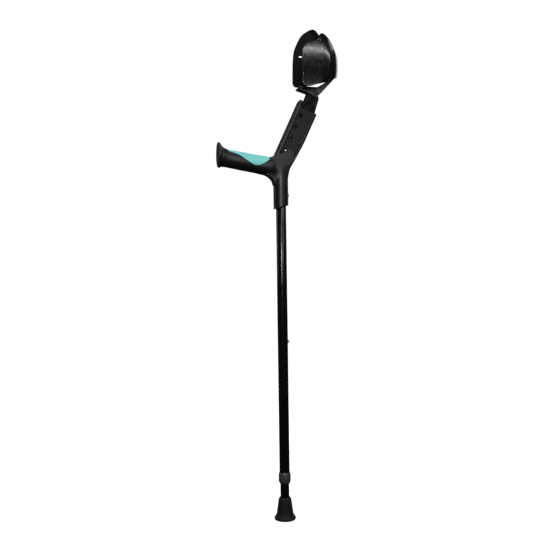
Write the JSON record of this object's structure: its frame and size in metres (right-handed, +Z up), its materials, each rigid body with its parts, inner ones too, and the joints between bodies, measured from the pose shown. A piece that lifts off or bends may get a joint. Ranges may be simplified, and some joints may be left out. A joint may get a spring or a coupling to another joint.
{
  "type": "forearm crutch",
  "caption": "Height-adjustable forearm crutch with a leaning upper arm, a soft-topped grip, a sliding and tilting forearm cuff and a flared rubber ferrule.",
  "frame": {"origin": "centre of the ferrule's sole, on the floor", "axes": "+Z up the shaft, -X the way the grip points, Y the cuff's tilt axis"},
  "size_m": [0.2688, 0.095, 1.0742],
  "materials": {
    "black_tube": "satin black lacquer on aluminium tube",
    "handle_plastic": "fine-textured black moulding, semi-matt",
    "gloss_black": "smooth glossy black moulding",
    "dark_plastic": "matt dark grey plastic",
    "mint_soft": "soft-touch mint thermoplastic rubber",
    "rubber": "matt black rubber",
    "steel": "bright zinc-plated steel",
    "spring_steel": "blued spring steel",
    "black_steel": "black-oxide steel"
  },
  "bodies": {
    "leg": {"ferrule": "rubber", "ferrule_washer": "steel", "lower_tube": "black_tube", "lower_tube_plug": "dark_plastic", "leg_button_spring": "spring_steel"},
    "leg_button": {"leg_button": "steel"},
    "upper": {"outer_tube": "black_tube", "tube_collar": "dark_plastic", "collar_ring": "rubber", "collar_rivet": "steel", "handle_body": "handle_plastic", "grip_insert": "mint_soft", "grip_end_cap": "handle_plastic", "handle_rivet": "black_steel"},
    "cuff_stem": {"cuff_stem": "gloss_black", "arm_button_spring": "spring_steel", "pivot_bolt": "black_steel", "pivot_nut": "black_steel", "pivot_washers": "dark_plastic"},
    "arm_button": {"arm_button": "steel"},
    "cuff": {"cuff_bracket": "dark_plastic", "cuff_shell": "gloss_black", "cuff_screws": "black_steel", "cuff_screw_caps": "dark_plastic"}
  },
  "joints": [
    {"name": "height_slide", "type": "slide", "parent": "leg", "child": "upper", "axis": [0, 0, 1], "range_m": [0, 0.15]},
    {"name": "leg_button_press", "type": "slide", "parent": "leg", "child": "leg_button", "axis": [-1, 0, 0], "range_m": [0, 0.005], "stiffness_N_per_m": 1200, "springref_m": -0.003, "deforming": ["leg_button_spring"]},
    {"name": "cuff_slide", "type": "slide", "parent": "upper", "child": "cuff_stem", "axis": [0.4226, 0, 0.9063], "range_m": [0, 0.084], "deforming": ["arm_button"]},
    {"name": "arm_button_press", "type": "slide", "parent": "cuff_stem", "child": "arm_button", "axis": [0, 1, 0], "range_m": [0, 0.0042], "stiffness_N_per_m": 1200, "springref_m": -0.003, "deforming": ["arm_button_spring"]},
    {"name": "cuff_tilt", "type": "hinge", "parent": "cuff_stem", "child": "cuff", "pos_m": [0.078, 0, 0.923], "axis": [0, 1, 0], "range_deg": [0, 40]}
  ]
}
